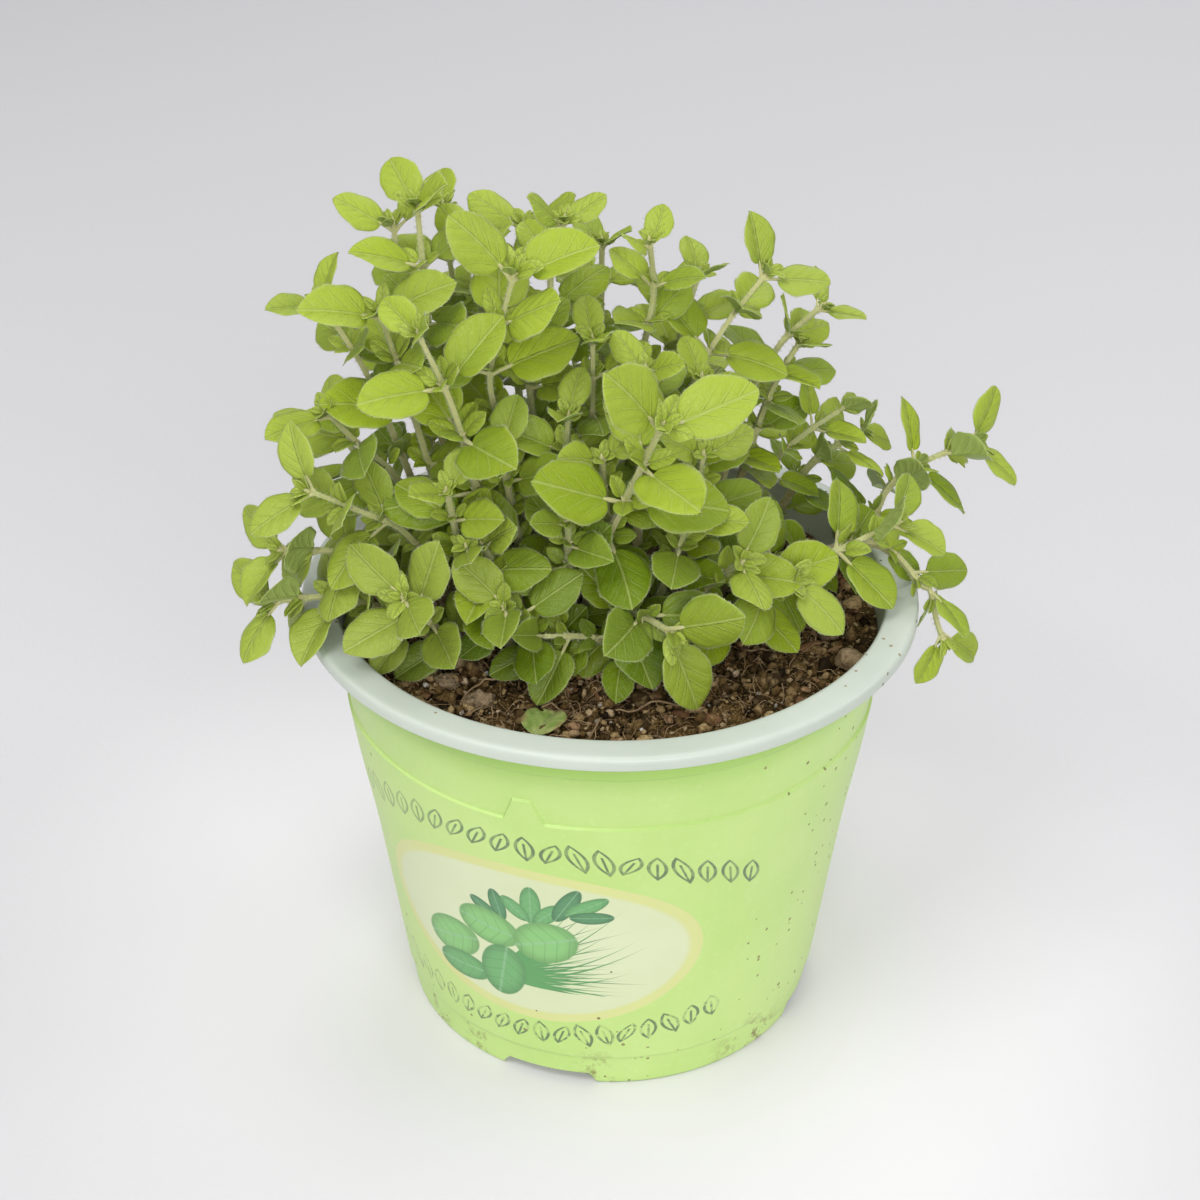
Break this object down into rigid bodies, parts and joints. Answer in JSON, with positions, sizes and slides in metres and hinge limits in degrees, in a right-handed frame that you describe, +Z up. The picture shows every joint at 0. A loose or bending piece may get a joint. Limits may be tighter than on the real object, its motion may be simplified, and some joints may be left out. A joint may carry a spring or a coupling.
{
  "type": "potted oregano",
  "caption": "Bushy young oregano plant with many leafy square stems, growing in soil in a tapered plastic nursery pot with a flat rim.",
  "frame": {"origin": "on the surface that the pot stands on, under the middle of the whole object's bounding box; the pot's axis is about 5.4 mm to -X and 1.0 mm to -Y of it", "axes": "+Z up along the pot's axis, -Y towards the front of the plant, +X to its right"},
  "size_m": [0.1676, 0.132, 0.1904],
  "materials": {
    "pot": "satin moulded plastic, light green print over a pale mint rim",
    "soil": "rough potting mix of peat, bark fibre and grit",
    "stone": "rough tan stone",
    "clod": "crumbly lump of potting mix",
    "bark": "rough bark chip",
    "fallen_leaf": "dull wilted leaf",
    "foliage": "soft hairy herb leaf and stem"
  },
  "bodies": {
    "root": {"bark_chip": "bark", "clod_front": "clod", "clod_left": "clod", "clod_right": "clod", "fallen_leaf": "fallen_leaf", "pot": "pot", "shoot_arched": "foliage", "shoot_back_centre": "foliage", "shoot_back_left": "foliage", "shoot_back_left_high": "foliage", "shoot_back_low": "foliage", "shoot_back_middle": "foliage", "shoot_back_right": "foliage", "shoot_back_right_high": "foliage", "shoot_back_tallest": "foliage", "shoot_centre": "foliage", "shoot_centre_high": "foliage", "shoot_centre_right": "foliage", "shoot_far_left_back": "foliage", "shoot_far_right": "foliage", "shoot_front": "foliage", "shoot_front_inner": "foliage", "shoot_front_left": "foliage", "shoot_front_mid_left": "foliage", "shoot_front_right": "foliage", "shoot_hanging_left": "foliage", "shoot_hanging_middle": "foliage", "shoot_inner_front": "foliage", "shoot_inner_left": "foliage", "shoot_inner_middle": "foliage", "shoot_inner_right": "foliage", "shoot_left": "foliage", "shoot_left_back": "foliage", "shoot_left_front": "foliage", "shoot_left_high": "foliage", "shoot_left_middle": "foliage", "shoot_low_left": "foliage", "shoot_low_right_back": "foliage", "shoot_lying": "foliage", "shoot_middle_high": "foliage", "shoot_pale_lower": "foliage", "shoot_pale_middle": "foliage", "shoot_pale_upper": "foliage", "shoot_right_back": "foliage", "shoot_right_branch": "foliage", "shoot_right_curved": "foliage", "shoot_right_front": "foliage", "shoot_right_high": "foliage", "shoot_right_low": "foliage", "shoot_right_middle": "foliage", "shoot_right_upright": "foliage", "shoot_tall_left": "foliage", "shoot_tallest": "foliage", "shoot_trailing": "foliage", "shoot_upper_left": "foliage", "shoot_upper_middle": "foliage", "shoot_upper_right": "foliage", "soil": "soil", "stone_tan": "stone"}
  },
  "joints": []
}
